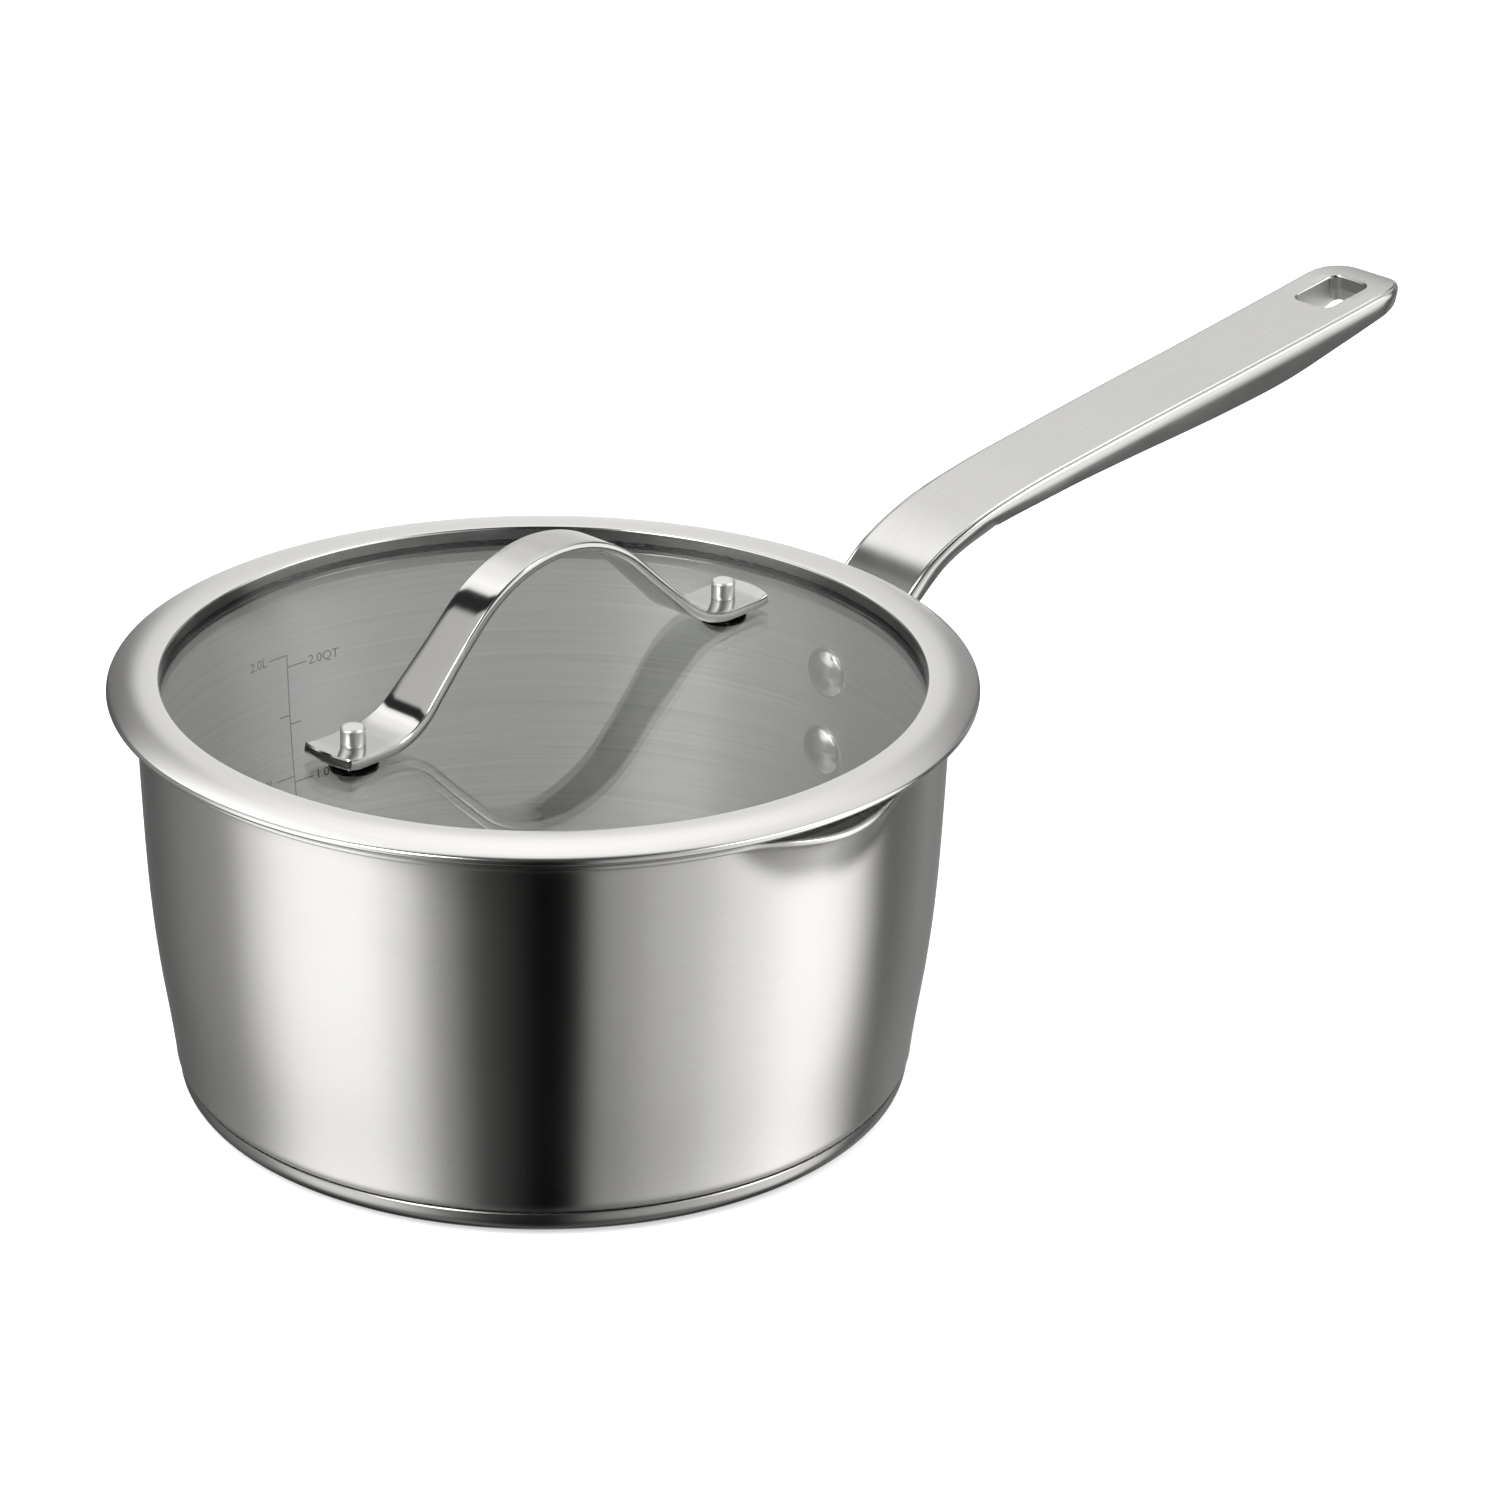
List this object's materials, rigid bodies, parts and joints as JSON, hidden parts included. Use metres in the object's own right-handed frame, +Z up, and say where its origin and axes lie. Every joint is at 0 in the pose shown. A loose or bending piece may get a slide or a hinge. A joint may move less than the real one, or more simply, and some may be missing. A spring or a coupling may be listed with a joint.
{
  "type": "saucepan",
  "caption": "Round steel saucepan with pouring spouts, a capped base and a long riveted handle, under a lift-off flat glass lid in a steel rim with an arched strap handle.",
  "frame": {"origin": "on the vessel's axis, at the underside of the base", "axes": "+Z up along the vessel's axis; +X from the axis out along the pan handle; the two pouring spouts are on +Y and -Y"},
  "size_m": [0.4186, 0.2138, 0.1407],
  "materials": {
    "vessel_steel": "satin brushed stainless steel, brushed round the wall",
    "base_steel": "turned satin stainless steel",
    "core_aluminium": "pressed aluminium, hidden inside the base",
    "handle_steel": "cast stainless steel, fine satin face with polished edges",
    "rivet_steel": "tumbled stainless steel",
    "lid_glass": "clear tempered glass",
    "lid_steel": "polished stainless steel",
    "ring_steel": "bright rolled stainless steel",
    "strap_steel": "mirror polished stainless steel",
    "screw_steel": "plain stainless steel",
    "seal_silicone": "dark silicone rubber",
    "gasket_silicone": "black silicone rubber"
  },
  "bodies": {
    "pan": {"pan_body": "vessel_steel", "base_cap": "base_steel", "base_core": "core_aluminium", "pan_handle": "handle_steel", "handle_rivet_upper": "rivet_steel", "handle_rivet_lower": "rivet_steel"},
    "lid": {"lid_glass": "lid_glass", "lid_rim_band": "lid_steel", "lid_locating_ring": "ring_steel", "lid_glass_seal": "seal_silicone", "lid_strap_handle": "strap_steel", "strap_post_handle_side": "strap_steel", "strap_gasket_handle_side": "gasket_silicone", "glass_gasket_handle_side": "gasket_silicone", "strap_washer_handle_side": "screw_steel", "strap_screw_handle_side": "screw_steel", "strap_post_open_side": "strap_steel", "strap_gasket_open_side": "gasket_silicone", "glass_gasket_open_side": "gasket_silicone", "strap_washer_open_side": "screw_steel", "strap_screw_open_side": "screw_steel"}
  },
  "joints": [
    {"name": "lid_lift", "type": "slide", "parent": "pan", "child": "lid", "axis": [0, 0, 1], "range_m": [0, 0.12]}
  ]
}
